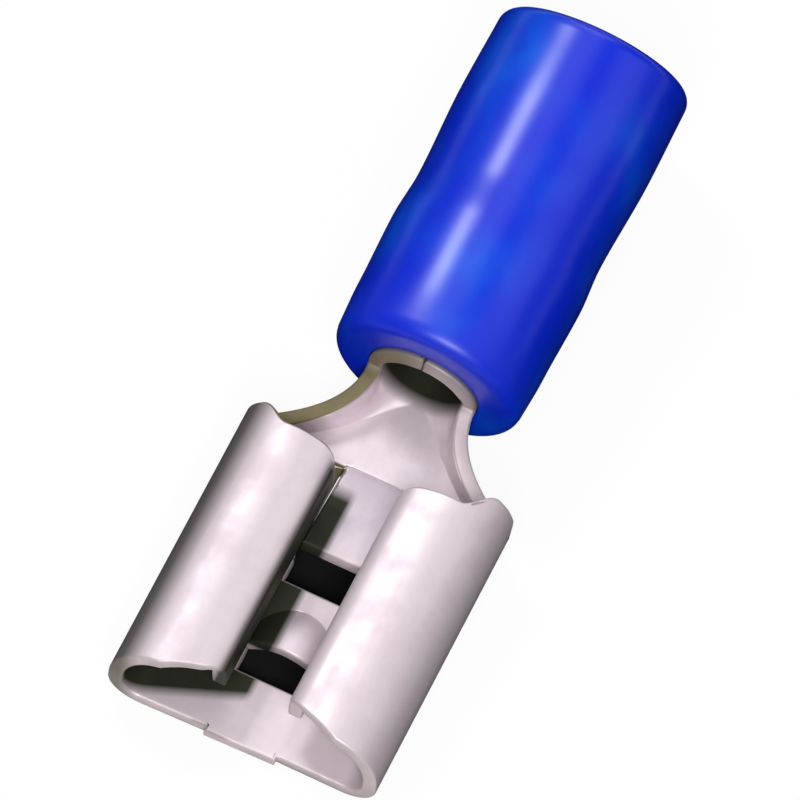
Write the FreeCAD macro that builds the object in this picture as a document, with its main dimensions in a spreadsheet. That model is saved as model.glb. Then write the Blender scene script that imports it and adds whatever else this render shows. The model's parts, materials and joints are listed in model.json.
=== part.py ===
import FreeCAD, Part

import math
import os

import Sketcher

# Female spade terminal for a 6.3 by 0.8 mm tab, with a round insulating sleeve.
# X runs from the mouth to the wire end, Z is up from the receptacle's floor, Y = 0 is the middle.
# The origin is under the front edge of the floor. Lengths are in millimetres, angles in degrees.

SIZES = [
    # sheet that the terminal is stamped and rolled from
    ("sheet_thickness", 0.4),
    # receptacle
    ("receptacle_width", 7.6),
    ("receptacle_height", 2.75),
    ("receptacle_length", 8.1),
    ("floor_corner_radius", 0.95),
    ("roof_corner_radius", 1.1),
    ("roof_slope", 14),
    ("roof_flat", 1.1),
    ("lip_bend_radius", 0.7),
    ("lip_gap", 1.74),
    ("tab_height", 0.8),
    ("roof_front_setback", 0.2),
    ("roof_rear_setback", 0.45),
    ("lip_front_setback", 0.85),
    ("lip_rear_setback", 0.95),
    ("lip_shoulder_inset", 1.3),
    ("rear_step_inset", 0.45),
    ("lip_round_width", 0.35),
    ("lip_round_setback", 0.56),
    ("carrier_stub_width", 2.1),
    ("carrier_stub_length", 0.12),
    # lanced features in the floor
    ("floor_window_width", 2.0),
    ("dome_window_start", 1.75),
    ("dome_window_length", 0.75),
    ("dome_length", 1.3),
    ("dome_height", 1.0),
    ("tab_depth", 5.35),
    ("stop_window_length", 0.8),
    ("stop_root_setback", 0.1),
    ("stop_lip_clearance", 0.06),
    ("stop_side_gap", 0.06),
    # neck between the receptacle and the wire barrel
    ("neck_length", 2.5),
    ("neck_waist_power", 2.1),
    ("neck_floor_power", 1.35),
    ("neck_rim_power", 1.3),
    ("neck_bend_radius", 0.62),
    # wire barrel
    ("barrel_bore", 2.3),
    ("barrel_length", 6.0),
    ("barrel_seam", 0.06),
    ("barrel_flare", 0.16),
    # insulating sleeve
    ("sleeve_setback", 0.1),
    ("sleeve_length", 10.7),
    ("sleeve_clearance", 0.01),
    ("sleeve_diameter", 5.48),
    ("sleeve_front_drop", 0.16),
    ("sleeve_ridge_drop", 0.02),
    ("sleeve_ridge_lead", 1.3),
    ("sleeve_waist_drop", 0.08),
    ("sleeve_waist_lead", 0.3),
    ("sleeve_bulge_rise", 0.08),
    ("sleeve_bulge_distance", 2.1),
    ("sleeve_rear_slant", 0.5),
    ("sleeve_edge_round", 0.4),
    ("funnel_end_gap", 0.2),
    ("funnel_length", 0.8),
    ("wire_entry_wall", 0.62),
    ("wire_entry_round", 0.15),
]

NECK_STATIONS = 7

doc = FreeCAD.newDocument("spade_terminal")
sheet = doc.addObject("Spreadsheet::Sheet", "Sizes")
for row, (alias, value) in enumerate(SIZES, start=1):
    sheet.set(f"A{row}", alias)
    sheet.set(f"B{row}", str(value))
    sheet.setAlias(f"B{row}", alias)
doc.recompute()


def size(alias):
    """The number that the sheet holds under this alias."""
    return float(getattr(sheet, alias))


def bound(expression):
    """The expression with each alias turned into a reference to the sheet."""
    words = []
    for word in expression.split():
        bare = word.strip("()")
        known = any(bare == alias for alias, value in SIZES)
        words.append(word.replace(bare, "Sizes." + bare) if known else word)
    return " ".join(words)


# Distances along X that several features share.
STOP_FACE = "tab_depth"
STOP_TOP = "( sheet_thickness + tab_height - stop_lip_clearance )"
STOP_RUN = "( receptacle_length + stop_root_setback - sheet_thickness - tab_depth )"
BARREL_FRONT = "receptacle_length + neck_length"
BARREL_RADIUS = "( barrel_bore / 2 + sheet_thickness )"
SLEEVE_FRONT = BARREL_FRONT + " + sleeve_setback"


def new_body(label):
    body = doc.addObject("PartDesign::Body", label)
    body.Label = label
    return body


def attach(body, feature, role, offsets):
    """Set a sketch or primitive on one of its body's origin planes, moved by bound offsets."""
    plane = [item for item in body.Origin.OriginFeatures if item.Role == role][0]
    feature.AttachmentSupport = [(plane, "")]
    feature.MapMode = "FlatFace"
    for axis, expression in offsets.items():
        feature.setExpression("AttachmentOffset.Base." + axis, bound(expression))


def new_sketch(body, name, role, offsets=None):
    sketch = body.newObject("Sketcher::SketchObject", name)
    attach(body, sketch, role, offsets or {})
    return sketch


def pin_coordinate(sketch, kind, edge, expression):
    """Bind one coordinate of an edge's start; a leading minus puts it on the negative side."""
    origin = (-1, 1)
    point = (edge, 1)
    if expression == "0":
        axis = -2 if kind == "DistanceX" else -1
        sketch.addConstraint(Sketcher.Constraint("PointOnObject", edge, 1, axis))
        return
    negative = expression.startswith("-")
    first, second = (point, origin) if negative else (origin, point)
    index = sketch.addConstraint(Sketcher.Constraint(kind, *first, *second, 1.0))
    sketch.setExpression(f"Constraints[{index}]", bound(expression.lstrip("-")))


def polygon(sketch, corners):
    """Closed outline through corners, each given as two expressions."""
    count = len(corners)
    turn = 2 * math.pi / count
    start = [FreeCAD.Vector(math.cos(k * turn), math.sin(k * turn), 0) for k in range(count)]
    for k in range(count):
        sketch.addGeometry(Part.LineSegment(start[k], start[(k + 1) % count]), False)
    for k in range(count):
        sketch.addConstraint(Sketcher.Constraint("Coincident", k, 2, (k + 1) % count, 1))
    for k, (across, up) in enumerate(corners):
        pin_coordinate(sketch, "DistanceX", k, across)
        pin_coordinate(sketch, "DistanceY", k, up)


def box(body, kind, name, offsets, length, width, height):
    """Additive or subtractive box on the floor plane, with bound place and sides."""
    item = body.newObject("PartDesign::" + kind, name)
    attach(body, item, "XY_Plane", offsets)
    item.setExpression("Length", bound(length))
    item.setExpression("Width", bound(width))
    item.setExpression("Height", bound(height))
    doc.recompute()
    return item


def middle_pocket(body, name, sketch, depth):
    """Pocket that cuts equally to both sides of its sketch."""
    pocket = body.newObject("PartDesign::Pocket", name)
    pocket.Profile = sketch
    pocket.Midplane = True
    pocket.setExpression("Length", bound(depth))
    doc.recompute()
    return pocket


def curl_section(sketch):
    """Half of the receptacle's section: floor, corner, wall, roof corner, roof, bend and lip.

    The start points are worked out roughly, and the constraints then set the true form.
    """
    t = size("sheet_thickness")
    half = size("receptacle_width") / 2
    top = size("receptacle_height")
    floor_r = size("floor_corner_radius")
    roof_r = size("roof_corner_radius")
    bend_r = size("lip_bend_radius")
    roof_a = math.radians(size("roof_slope"))
    roof_flat = size("roof_flat")
    tip_y = size("lip_gap") / 2

    # the bend follows the flat of the roof, and the lip runs from it, along its tangent, to the tip
    roof_centre = (half - roof_r, top - roof_r)
    reach = roof_r - bend_r
    bend_centre = (
        roof_centre[0] - reach * math.sin(roof_a) - roof_flat * math.cos(roof_a),
        roof_centre[1] + reach * math.cos(roof_a) - roof_flat * math.sin(roof_a),
    )
    across = bend_centre[0] - tip_y
    down = bend_centre[1] - t - size("tab_height")
    lip_a = math.atan2(down, across) + math.asin((bend_r - t) / math.hypot(across, down))
    tip_z = t + size("tab_height") + t * math.cos(lip_a)
    arcs = [
        ((half - floor_r, floor_r), floor_r, -math.pi / 2, 0.0),
        (roof_centre, roof_r, 0.0, math.pi / 2 + roof_a),
        (bend_centre, bend_r, math.pi / 2 + roof_a, math.pi / 2 + lip_a),
    ]

    def on_arc(arc, inset, angle):
        return FreeCAD.Vector(
            arc[0][0] + (arc[1] - inset) * math.cos(angle), arc[0][1] + (arc[1] - inset) * math.sin(angle), 0
        )

    def side(inset, tip):
        """One face of the sheet as lines and arcs, from the middle of the floor to the lip's edge."""
        edges = []
        last = FreeCAD.Vector(0, inset, 0)
        for arc in arcs:
            edges.append(Part.LineSegment(last, on_arc(arc, inset, arc[2])))
            centre = FreeCAD.Vector(arc[0][0], arc[0][1], 0)
            circle = Part.Circle(centre, FreeCAD.Vector(0, 0, 1), arc[1] - inset)
            edges.append(Part.ArcOfCircle(circle, arc[2], arc[3]))
            last = on_arc(arc, inset, arc[3])
        edges.append(Part.LineSegment(last, tip))
        return edges

    outer_tip = FreeCAD.Vector(tip_y, tip_z, 0)
    inner_tip = FreeCAD.Vector(tip_y + t * math.sin(lip_a), tip_z - t * math.cos(lip_a), 0)
    outer = side(0.0, outer_tip)
    inner = side(t, inner_tip)
    for edge in outer + inner:
        sketch.addGeometry(edge, False)
    count = len(outer)
    lip_end = sketch.addGeometry(Part.LineSegment(outer_tip, inner_tip), False)
    middle = sketch.addGeometry(Part.LineSegment(FreeCAD.Vector(0, 0, 0), FreeCAD.Vector(0, t, 0)), False)

    add = sketch.addConstraint
    for first in (0, count):
        for k in range(first, first + count - 1):
            # an arc starts at its point 1, which is where the line before it ends
            add(Sketcher.Constraint("Tangent", k, 2, k + 1, 1))
    for k in (1, 3, 5):
        add(Sketcher.Constraint("Coincident", k, 3, k + count, 3))
    add(Sketcher.Constraint("Coincident", middle, 1, 0, 1))
    add(Sketcher.Constraint("Coincident", middle, 2, count, 1))
    add(Sketcher.Constraint("Coincident", lip_end, 1, count - 1, 2))
    add(Sketcher.Constraint("Coincident", lip_end, 2, 2 * count - 1, 2))
    add(Sketcher.Constraint("Perpendicular", lip_end, count - 1))
    add(Sketcher.Constraint("Coincident", middle, 1, -1, 1))
    add(Sketcher.Constraint("Vertical", middle))
    add(Sketcher.Constraint("Horizontal", 0))
    add(Sketcher.Constraint("Horizontal", count))
    add(Sketcher.Constraint("Vertical", 2))

    def drive(constraint, expression):
        sketch.setExpression(f"Constraints[{add(constraint)}]", bound(expression))

    drive(Sketcher.Constraint("DistanceY", middle, 1, middle, 2, t), "sheet_thickness")
    drive(Sketcher.Constraint("DistanceX", -1, 1, 2, 1, half), "receptacle_width / 2")
    drive(Sketcher.Constraint("Radius", 1, floor_r), "floor_corner_radius")
    drive(Sketcher.Constraint("Radius", 3, roof_r), "roof_corner_radius")
    drive(Sketcher.Constraint("Radius", 5, bend_r), "lip_bend_radius")
    drive(
        Sketcher.Constraint("DistanceY", -1, 1, 3, 3, top - roof_r),
        "receptacle_height - roof_corner_radius",
    )
    drive(Sketcher.Constraint("DistanceX", -1, 1, lip_end, 1, tip_y), "lip_gap / 2")
    drive(
        Sketcher.Constraint("DistanceY", -1, 1, lip_end, 2, t + size("tab_height")),
        "sheet_thickness + tab_height",
    )
    drive(Sketcher.Constraint("Radius", 3 + count, roof_r - t), "roof_corner_radius - sheet_thickness")
    drive(Sketcher.Constraint("Radius", 5 + count, bend_r - t), "lip_bend_radius - sheet_thickness")
    drive(Sketcher.Constraint("Angle", 4, roof_a - math.pi), "roof_slope - 180")
    drive(Sketcher.Constraint("Distance", 4, roof_flat), "roof_flat")


def receptacle(body):
    """Rolled receptacle: one flat floor whose sides stand up and curl back over the tab."""
    section = new_sketch(body, "curl_section", "YZ_Plane")
    curl_section(section)
    doc.recompute()
    half = body.newObject("PartDesign::Pad", "curl_half")
    half.Profile = section
    half.setExpression("Length", bound("receptacle_length"))
    doc.recompute()
    whole = body.newObject("PartDesign::Mirrored", "curl_pair")
    whole.Originals = [half]
    plane = [item for item in body.Origin.OriginFeatures if item.Role == "XZ_Plane"][0]
    whole.MirrorPlane = (plane, [""])
    body.Tip = whole
    doc.recompute()

    # the walls' front ends lean back a little towards the roof
    front = new_sketch(body, "front_lean", "XZ_Plane")
    polygon(front, [
        ("0", "floor_corner_radius"),
        ("roof_front_setback", "receptacle_height + sheet_thickness"),
        ("-sheet_thickness", "receptacle_height + sheet_thickness"),
        ("-sheet_thickness", "floor_corner_radius"),
    ])
    middle_pocket(body, "front_lean_cut", front, "receptacle_width + sheet_thickness")

    # seen from above, the curls' free corners are cut back
    trim_up(body, "front_lip_trim", [
        ("-sheet_thickness", "( receptacle_width / 2 - lip_shoulder_inset )"),
        ("-sheet_thickness", "-( receptacle_width / 2 - lip_shoulder_inset )"),
        ("roof_front_setback", "-( receptacle_width / 2 - lip_shoulder_inset )"),
        ("lip_front_setback", "-lip_gap / 2"),
        ("lip_front_setback", "lip_gap / 2"),
        ("roof_front_setback", "( receptacle_width / 2 - lip_shoulder_inset )"),
    ])
    trim_up(body, "rear_lip_trim", [
        ("receptacle_length + sheet_thickness", "( receptacle_width / 2 - rear_step_inset )"),
        ("receptacle_length", "( receptacle_width / 2 - rear_step_inset )"),
        ("receptacle_length - roof_rear_setback", "( receptacle_width / 2 - lip_shoulder_inset )"),
        ("receptacle_length - lip_round_setback", "( lip_gap / 2 + lip_round_width )"),
        ("receptacle_length - lip_rear_setback", "lip_gap / 2"),
        ("receptacle_length - lip_rear_setback", "-lip_gap / 2"),
        ("receptacle_length - lip_round_setback", "-( lip_gap / 2 + lip_round_width )"),
        ("receptacle_length - roof_rear_setback", "-( receptacle_width / 2 - lip_shoulder_inset )"),
        ("receptacle_length", "-( receptacle_width / 2 - rear_step_inset )"),
        ("receptacle_length + sheet_thickness", "-( receptacle_width / 2 - rear_step_inset )"),
    ])

    # stub of the strip that carried the blank through the press
    box(
        body, "AdditiveBox", "carrier_stub",
        {"x": "-1 * carrier_stub_length", "y": "-1 * carrier_stub_width / 2"},
        "carrier_stub_length + sheet_thickness", "carrier_stub_width", "sheet_thickness",
    )


def trim_up(body, name, corners):
    """Cut an outline upward from the top of the tab's space, through the curls only."""
    outline = new_sketch(body, name, "XY_Plane", {"z": "sheet_thickness + tab_height / 2"})
    polygon(outline, corners)
    before = body.Shape.Volume
    cut = body.newObject("PartDesign::Pocket", name + "_cut")
    cut.Profile = outline
    cut.Reversed = True
    cut.setExpression("Length", bound("receptacle_height"))
    doc.recompute()
    if body.Shape.Volume >= before:
        raise ValueError(name + " cuts nothing")


def floor_features(body):
    """Two windows in the floor, with the lanced dome and the stop tongue behind them."""
    for name, start, length in (
        ("dome_window", "dome_window_start", "dome_window_length"),
        ("stop_window", STOP_FACE + " - stop_window_length", "stop_window_length + " + STOP_RUN),
    ):
        box(
            body, "SubtractiveBox", name,
            {"x": start, "y": "-1 * floor_window_width / 2", "z": "-1 * sheet_thickness / 2"},
            length, "floor_window_width", "sheet_thickness * 2",
        )

    # half dome pressed up from the floor, open towards the mouth, with a hollow under it
    for name, kind, inset in (
        ("dome", "AdditiveEllipsoid", "0"),
        ("dome_hollow", "SubtractiveEllipsoid", "sheet_thickness"),
    ):
        shell = body.newObject("PartDesign::" + kind, name)
        attach(body, shell, "XY_Plane", {"x": "dome_window_start + dome_window_length"})
        shell.AttachmentOffset.Rotation = FreeCAD.Rotation(FreeCAD.Vector(0, 0, 1), -90)
        shell.setExpression("Radius1", bound("dome_height - " + inset))
        shell.setExpression("Radius2", bound("floor_window_width / 2 - " + inset))
        shell.setExpression("Radius3", bound("dome_length - " + inset))
        shell.Angle1 = 0 if kind == "AdditiveEllipsoid" else -90
        shell.Angle2 = 90
        shell.Angle3 = 180
        doc.recompute()

    # tongue that rises towards the mouth and stops the tab
    side = new_sketch(body, "stop_side", "XZ_Plane")
    free = STOP_FACE
    root = free + " + sheet_thickness + " + STOP_RUN
    polygon(side, [
        (free, STOP_TOP),
        (free, STOP_TOP + " - sheet_thickness"),
        (root + " - sheet_thickness", "0"),
        (root + " + sheet_thickness", "0"),
        (root + " + sheet_thickness", "sheet_thickness"),
        (root, "sheet_thickness"),
    ])
    tongue = body.newObject("PartDesign::Pad", "stop_tongue")
    tongue.Profile = side
    tongue.Midplane = True
    tongue.setExpression("Length", bound("floor_window_width - 2 * stop_side_gap"))
    doc.recompute()


def neck_station(share):
    """Outer face of one neck section as flat half-width, bend radius, wall angle and wall length."""
    barrel_r = size("barrel_bore") / 2 + size("sheet_thickness")
    mouth_half = size("receptacle_width") / 2
    corner_r = size("floor_corner_radius")
    rim_half = barrel_r + (mouth_half - barrel_r) * (1 - share) ** size("neck_waist_power")
    rim_up = corner_r + (barrel_r - corner_r) * share ** size("neck_rim_power")
    flat_end = 0.08 * barrel_r
    flat = flat_end + (mouth_half - corner_r - flat_end) * (1 - share) ** size("neck_floor_power")
    ends = corner_r * 0.96 * (1 - share) + barrel_r * 0.92 * share
    dip = 4 * share * (1 - share)
    across = rim_half - flat
    # the bend is never larger than the single arc from the flat to the rim
    bend = min(
        ends * (1 - dip) + size("neck_bend_radius") * dip,
        0.98 * (across * across + rim_up * rim_up) / (2 * rim_up),
    )
    up = rim_up - bend
    wall = math.sqrt(across * across + up * up - bend * bend)
    angle = math.atan2(up, across) + math.atan2(bend, wall)
    return flat, bend, angle, wall


def neck_outline(sketch, share):
    """Closed trough of the sheet's thickness: floor, two bends and two leaning walls."""
    t = size("sheet_thickness")
    flat, bend, angle, wall = neck_station(share)

    def face(inset):
        radius = bend - inset
        middle = angle / 2
        knee = (flat + radius * math.sin(middle), bend - radius * math.cos(middle))
        foot = (flat + radius * math.sin(angle), bend - radius * math.cos(angle))
        rim = (foot[0] + wall * math.cos(angle), foot[1] + wall * math.sin(angle))
        return (flat, inset), knee, foot, rim

    def half(points, sign):
        start, knee, foot, rim = [FreeCAD.Vector(sign * y, z, 0) for y, z in points]
        return start, Part.Arc(start, knee, foot), Part.LineSegment(foot, rim), rim

    rims = []
    starts = []
    for inset in (0.0, t):
        ends = []
        for sign in (1, -1):
            start, arc, line, rim = half(face(inset), sign)
            sketch.addGeometry(arc, False)
            sketch.addGeometry(line, False)
            ends.append(start)
            rims.append(rim)
        starts.append(ends)
    for right, left in starts:
        sketch.addGeometry(Part.LineSegment(left, right), False)
    sketch.addGeometry(Part.LineSegment(rims[0], rims[2]), False)
    sketch.addGeometry(Part.LineSegment(rims[1], rims[3]), False)


def neck(body):
    """Trough that narrows from the receptacle's floor to the lower half of the barrel."""
    sections = []
    for k in range(NECK_STATIONS):
        share = k / (NECK_STATIONS - 1)
        place = {"z": f"receptacle_length + neck_length * {share:.6f}"}
        section = new_sketch(body, f"neck_section_{k + 1}", "YZ_Plane", place)
        neck_outline(section, share)
        sections.append(section)
    doc.recompute()
    loft = body.newObject("PartDesign::AdditiveLoft", "neck")
    loft.Profile = sections[0]
    loft.Sections = sections[1:]
    loft.Ruled = False
    doc.recompute()


def barrel(body):
    """Round wire barrel, rolled until its two edges meet in a seam on top."""
    profile = new_sketch(body, "barrel_profile", "XZ_Plane", {"y": BARREL_RADIUS})
    rear = BARREL_FRONT + " + barrel_length"
    polygon(profile, [
        (BARREL_FRONT, "barrel_bore / 2"),
        (rear, "barrel_bore / 2"),
        (rear, "barrel_bore / 2 + sheet_thickness"),
        (BARREL_FRONT, "barrel_bore / 2 + sheet_thickness"),
    ])
    ring = body.newObject("PartDesign::Revolution", "barrel_ring")
    ring.Profile = profile
    ring.ReferenceAxis = (profile, ["H_Axis"])
    ring.Angle = 360
    doc.recompute()
    barrel_flare(body)
    box(
        body, "SubtractiveBox", "barrel_seam_cut",
        {"x": BARREL_FRONT + " - sheet_thickness", "y": "-1 * barrel_seam / 2", "z": BARREL_RADIUS},
        "barrel_length + 2 * sheet_thickness", "barrel_seam", "barrel_bore",
    )


def barrel_flare(body):
    """Bell mouth on the upper half of the barrel's front rim, as far as the sleeve's front face."""
    wall = "barrel_bore / 2 + sheet_thickness"
    rear = SLEEVE_FRONT
    for name, kind, radius in (
        ("flare_outside", "Revolution", wall),
        ("flare_inside", "Groove", "barrel_bore / 2"),
    ):
        profile = new_sketch(body, name + "_profile", "XZ_Plane", {"y": BARREL_RADIUS})
        polygon(profile, [
            (BARREL_FRONT, radius),
            (rear, radius),
            (BARREL_FRONT, radius + " + barrel_flare"),
        ])
        turned = body.newObject("PartDesign::" + kind, name)
        turned.Profile = profile
        turned.ReferenceAxis = (profile, ["H_Axis"])
        turned.Midplane = True
        turned.Angle = 180
        doc.recompute()


def terminal_body():
    """The whole stamped and rolled sheet as one solid."""
    body = new_body("terminal_body")
    receptacle(body)
    neck(body)
    floor_features(body)
    barrel(body)
    return body


def sleeve_end_plane(rear):
    """Point and normal of an end face; the rear one is slanted, its top nearer to the mouth."""
    front_x = size("receptacle_length") + size("neck_length") + size("sleeve_setback")
    axis_z = size("barrel_bore") / 2 + size("sheet_thickness")
    if not rear:
        return FreeCAD.Vector(front_x, 0, axis_z), FreeCAD.Vector(1, 0, 0)
    normal = FreeCAD.Vector(size("sleeve_diameter") / 2, 0, size("sleeve_rear_slant"))
    return FreeCAD.Vector(front_x + size("sleeve_length"), 0, axis_z), normal.normalize()


def round_rims(body, name, radius_alias, wanted):
    """Round the outer or inner edge of end faces; wanted holds (is it the rear, is it the outer edge)."""
    names = []
    for rear, outer in wanted:
        point, normal = sleeve_end_plane(rear)
        rims = []
        for number, edge in enumerate(body.Shape.Edges, start=1):
            samples = edge.discretize(9)
            if max(abs((sample - point).dot(normal)) for sample in samples) < 1e-4:
                rims.append((edge.Length, f"Edge{number}"))
        rims.sort()
        names.append(rims[-1][1] if outer else rims[0][1])
    base = body.Tip
    fillet = body.newObject("PartDesign::Fillet", name)
    fillet.Base = (base, names)
    fillet.setExpression("Radius", bound(radius_alias))
    doc.recompute()


def insulating_sleeve():
    """Moulded sleeve: a snug seat round the barrel, a funnel, and a wide entry for the wire."""
    body = new_body("insulating_sleeve")
    profile = new_sketch(body, "sleeve_profile", "XZ_Plane", {"y": BARREL_RADIUS})
    seat = BARREL_RADIUS + " + sleeve_clearance"
    funnel = BARREL_FRONT + " + barrel_length + funnel_end_gap"
    rear = SLEEVE_FRONT + " + sleeve_length"
    uncut = rear + " + 2 * sleeve_rear_slant"
    polygon(profile, [
        (SLEEVE_FRONT, seat),
        (funnel, seat),
        (funnel + " + funnel_length", "sleeve_diameter / 2 - wire_entry_wall"),
        (uncut, "sleeve_diameter / 2 - wire_entry_wall"),
        (uncut, "sleeve_diameter / 2"),
        (rear + " - sleeve_bulge_distance", "( sleeve_diameter + sleeve_bulge_rise ) / 2"),
        (funnel + " - sleeve_waist_lead", "( sleeve_diameter - sleeve_waist_drop ) / 2"),
        (funnel + " - sleeve_waist_lead - sleeve_ridge_lead", "( sleeve_diameter - sleeve_ridge_drop ) / 2"),
        (SLEEVE_FRONT, "( sleeve_diameter - sleeve_front_drop ) / 2"),
    ])
    turned = body.newObject("PartDesign::Revolution", "sleeve_wall")
    turned.Profile = profile
    turned.ReferenceAxis = (profile, ["H_Axis"])
    turned.Angle = 360
    doc.recompute()
    # the rear end is cut on a slant, its top nearer to the mouth than its bottom
    slant = new_sketch(body, "rear_slant", "XZ_Plane", {"y": BARREL_RADIUS})
    polygon(slant, [
        (rear + " - 2 * sleeve_rear_slant", "sleeve_diameter"),
        (rear + " + 2 * sleeve_rear_slant", "-sleeve_diameter"),
        (rear + " + 4 * sleeve_rear_slant", "-sleeve_diameter"),
        (rear + " + 4 * sleeve_rear_slant", "sleeve_diameter"),
    ])
    middle_pocket(body, "rear_slant_cut", slant, "2 * sleeve_diameter")
    round_rims(body, "outer_rims", "sleeve_edge_round", [(False, True), (True, True)])
    round_rims(body, "entry_rim", "wire_entry_round", [(True, False)])
    return body


def check_document():
    for item in doc.Objects:
        if "Invalid" in item.State or "Error" in item.State:
            raise ValueError(f"{item.Name} failed: {item.State}")


def write_parts(bodies):
    os.makedirs("parts", exist_ok=True)
    for body in bodies:
        shape = body.Shape
        if shape.isNull() or not shape.isValid() or len(shape.Solids) != 1:
            raise ValueError(f"{body.Label} is not one sound solid")
        shape.exportStep(f"parts/{body.Label}.step")
        low, high = shape.BoundBox.XMin, shape.BoundBox.XMax
        print(f"{body.Label}: volume {shape.Volume:.3f}, X {low:.2f} to {high:.2f}")


bodies = [terminal_body(), insulating_sleeve()]
doc.recompute()
check_document()
write_parts(bodies)
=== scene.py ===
"""Female spade terminal: the rolled, tin-plated receptacle and its blue sleeve.

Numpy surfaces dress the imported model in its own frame. Surfaces are worked out in millimetres,
and the places in the finishes are Object coordinates in metres.
"""

import json
import math

import bpy
import numpy as np
from mathutils import Matrix, Vector


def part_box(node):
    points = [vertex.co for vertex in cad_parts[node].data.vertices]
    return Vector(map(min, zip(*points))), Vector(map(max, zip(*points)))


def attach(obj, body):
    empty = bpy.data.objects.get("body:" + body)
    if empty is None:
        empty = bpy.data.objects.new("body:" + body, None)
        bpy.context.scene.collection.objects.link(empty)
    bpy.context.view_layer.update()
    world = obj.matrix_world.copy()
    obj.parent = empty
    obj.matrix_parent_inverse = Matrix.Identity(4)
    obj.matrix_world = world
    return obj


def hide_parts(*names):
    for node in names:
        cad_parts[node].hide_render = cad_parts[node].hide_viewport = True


bl_info = {
    "name": "Female spade terminal",
    "version": (1, 0, 0),
    "blender": (4, 5, 0),
    "location": "View3D > Sidebar > Terminal",
    "description": "Builds the receptacle, the wire barrel and the insulating sleeve of a spade terminal",
    "category": "Add Mesh",
}

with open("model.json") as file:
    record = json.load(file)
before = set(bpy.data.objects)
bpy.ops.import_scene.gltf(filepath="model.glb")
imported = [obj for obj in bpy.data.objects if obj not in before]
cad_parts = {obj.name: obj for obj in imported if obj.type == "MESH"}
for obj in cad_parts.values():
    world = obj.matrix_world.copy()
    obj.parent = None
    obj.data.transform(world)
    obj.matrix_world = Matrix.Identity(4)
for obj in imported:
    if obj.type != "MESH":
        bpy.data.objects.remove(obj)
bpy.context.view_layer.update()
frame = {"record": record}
BODY = "root"
MM = 0.001

SHEET_LOW, SHEET_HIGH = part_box("terminal_body")
SLEEVE_LOW, SLEEVE_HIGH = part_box("insulating_sleeve")
MOUNTS = {mount["name"]: mount for mount in frame["record"]["mounts"]}
AXIS_HEIGHT = MOUNTS["wire_barrel"]["pos_m"][2] / MM
BORE_RADIUS = MOUNTS["wire_barrel"]["dims"]["r_mm"]
ENTRY_RADIUS = MOUNTS["wire_entry"]["dims"]["r_mm"]

# fine form of the sheet, in millimetres where nothing else is said
TINY = 1e-6
EDGE_CELL = 0.1  # the narrow cell of the grid beside each cut edge
DOME_FOOT = 0.05  # rounding of the dome's foot, as a share of its height
STOP_FOOT = 0.08  # rounding of the stop's root
GROOVE_DEPTH, GROOVE_PLACE, GROOVE_WIDTH = 0.05, 0.05, 0.14  # groove behind the stop's root
STOP_SIDE_FADE = 0.2  # share of the stop's half width that sinks to the floor behind the slits
NECK_RIM_POWER, NECK_RISE_POWER, NECK_FLAT_POWER, NECK_END_POWER = 2.1, 1.3, 1.35, 8
ROOF_AFTER = 1.2  # way from the floor's corner up the wall, past which an edge is the roof's
SKEW_RUN = 0.5  # way up the wall over which the later rear edge begins
CORNER_POWER = 5  # roundness of the cut-back corners at the neck
FLARE_RUN, FLARE_POWER, FLARE_TURN = 0.2, 1.5, 0.5  # rim of the barrel: length, shape, radians to full flare
SHARPEST = 0.6  # least value of one plus the dot product, so that sharp corners of a rim don't shoot out
STRIP_STEP, CURL_STEP, ROW_STEP, BARREL_STEP = 0.06, 0.09, 0.07, 0.1  # sizes of the grids' cells
NECK_ROWS, BARREL_COLUMNS = 34, 40

# fine form of the sleeve, in millimetres, and the points of its outline and round it
SEAT_ROUND = 0.1
FUNNEL_LIP = 0.06
OUTSIDE_POINTS, INSIDE_POINTS, RIM_POINTS, SLEEVE_COLUMNS = 110, 12, 12, 160

# borders of the finishes, in metres
MOUTH_START, MOUTH_END = 0.0104, 0.0135  # painted shadow in the barrel's mouth, along
CURL_START, CURL_LEAN = 0.0028, 0.41  # painted shadow in the left curl: it starts further back towards the middle
LIP_RIGHT, LIP_LEFT, LIP_LEAN = 0.00034, 0.00155, 0.158  # painted shadow beside the left lip, and its lean with height
GAP_LOW, GAP_HIGH, GAP_REAR = 0.0003, 0.0026, 0.0076  # the space under the roof that it keeps to
# painted dark reflection on the left outer wall, from this Y on
LEFT_WALL = 0.0030
LEFT_EDGE_SHADE_START = 0.006  # behind it the left cut edges get much more of the brass colour, which is painted shade
MATT_END = 0.0130  # the sleeve is matt in front of it
PATCH_MIDDLE, PATCH_LENGTH, PATCH_WIDTH = 0.0039, 0.0026, 0.0015  # painted shadow on the floor under the receptacle, half sizes
FAR_PAGE = 0.04  # how far from the patch mirrored rays meet the white page


def length(name, text, value):
    """A length in millimetres that a user may change."""
    return bpy.props.FloatProperty(name=name, description=text, default=value, precision=3)


def tint(name, text, value):
    """A linear colour that a user may change."""
    return bpy.props.FloatVectorProperty(
        name=name, description=text, default=value, subtype="COLOR", size=3, min=0.0, max=1.0
    )


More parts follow.
